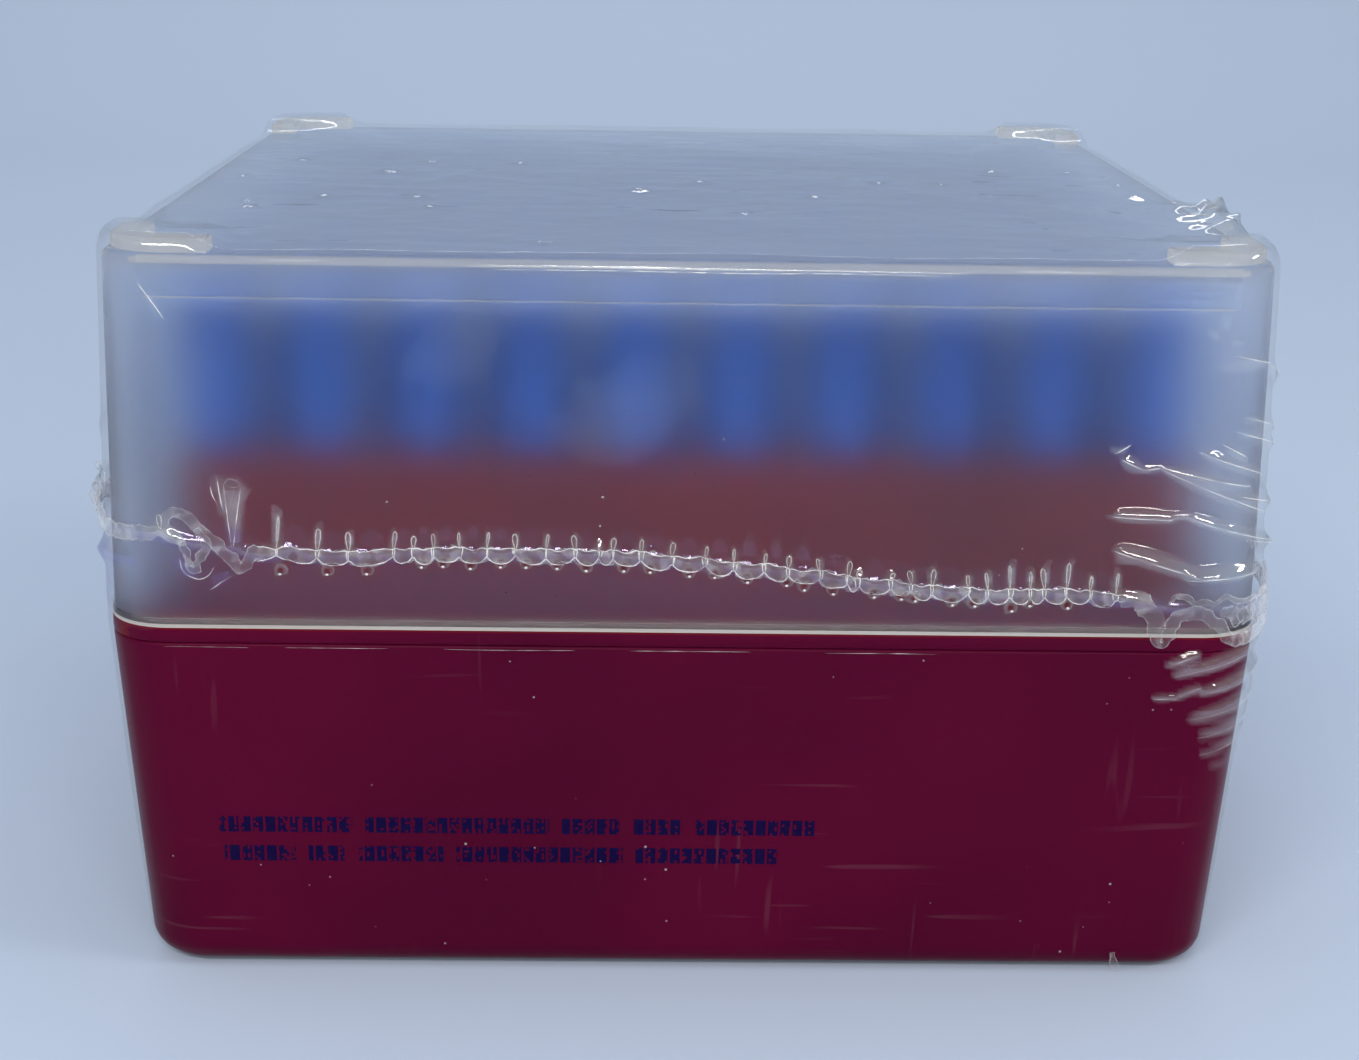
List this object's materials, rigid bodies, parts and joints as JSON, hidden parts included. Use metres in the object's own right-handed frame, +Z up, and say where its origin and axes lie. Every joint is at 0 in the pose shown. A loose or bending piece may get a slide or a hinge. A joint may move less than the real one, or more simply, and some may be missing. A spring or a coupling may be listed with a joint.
{
  "type": "box of pipette tips",
  "caption": "Sealed square box of pipette tips: tapered burgundy tray and raised rack under a frosted lid, all shrink-wrapped in clear film with a weld bead.",
  "frame": {"origin": "centre of the pack's footprint, on the surface it stands on", "axes": "+Z up through the lid, -Y towards the printed front of the tray, +X to the right of it"},
  "size_m": [0.1286, 0.1286, 0.0838],
  "materials": {
    "maroon_plastic": "burgundy polypropylene, satin",
    "blue_plastic": "blue translucent polypropylene",
    "frosted_plastic": "frosted natural polypropylene",
    "clear_film": "clear glossy shrink film"
  },
  "bodies": {
    "root": {"base_tray": "maroon_plastic", "tip_rack": "maroon_plastic", "tip_row1_column1": "blue_plastic", "tip_row1_column2": "blue_plastic", "tip_row1_column3": "blue_plastic", "tip_row1_column4": "blue_plastic", "tip_row1_column5": "blue_plastic", "tip_row1_column6": "blue_plastic", "tip_row1_column7": "blue_plastic", "tip_row1_column8": "blue_plastic", "tip_row1_column9": "blue_plastic", "tip_row1_column10": "blue_plastic", "tip_row2_column1": "blue_plastic", "tip_row2_column2": "blue_plastic", "tip_row2_column3": "blue_plastic", "tip_row2_column4": "blue_plastic", "tip_row2_column5": "blue_plastic", "tip_row2_column6": "blue_plastic", "tip_row2_column7": "blue_plastic", "tip_row2_column8": "blue_plastic", "tip_row2_column9": "blue_plastic", "tip_row2_column10": "blue_plastic", "tip_row3_column1": "blue_plastic", "tip_row3_column2": "blue_plastic", "tip_row3_column3": "blue_plastic", "tip_row3_column4": "blue_plastic", "tip_row3_column5": "blue_plastic", "tip_row3_column6": "blue_plastic", "tip_row3_column7": "blue_plastic", "tip_row3_column8": "blue_plastic", "tip_row3_column9": "blue_plastic", "tip_row3_column10": "blue_plastic", "tip_row4_column1": "blue_plastic", "tip_row4_column2": "blue_plastic", "tip_row4_column3": "blue_plastic", "tip_row4_column4": "blue_plastic", "tip_row4_column5": "blue_plastic", "tip_row4_column6": "blue_plastic", "tip_row4_column7": "blue_plastic", "tip_row4_column8": "blue_plastic", "tip_row4_column9": "blue_plastic", "tip_row4_column10": "blue_plastic", "tip_row5_column1": "blue_plastic", "tip_row5_column2": "blue_plastic", "tip_row5_column3": "blue_plastic", "tip_row5_column4": "blue_plastic", "tip_row5_column5": "blue_plastic", "tip_row5_column6": "blue_plastic", "tip_row5_column7": "blue_plastic", "tip_row5_column8": "blue_plastic", "tip_row5_column9": "blue_plastic", "tip_row5_column10": "blue_plastic", "lid": "frosted_plastic", "shrink_film": "clear_film"}
  },
  "joints": []
}
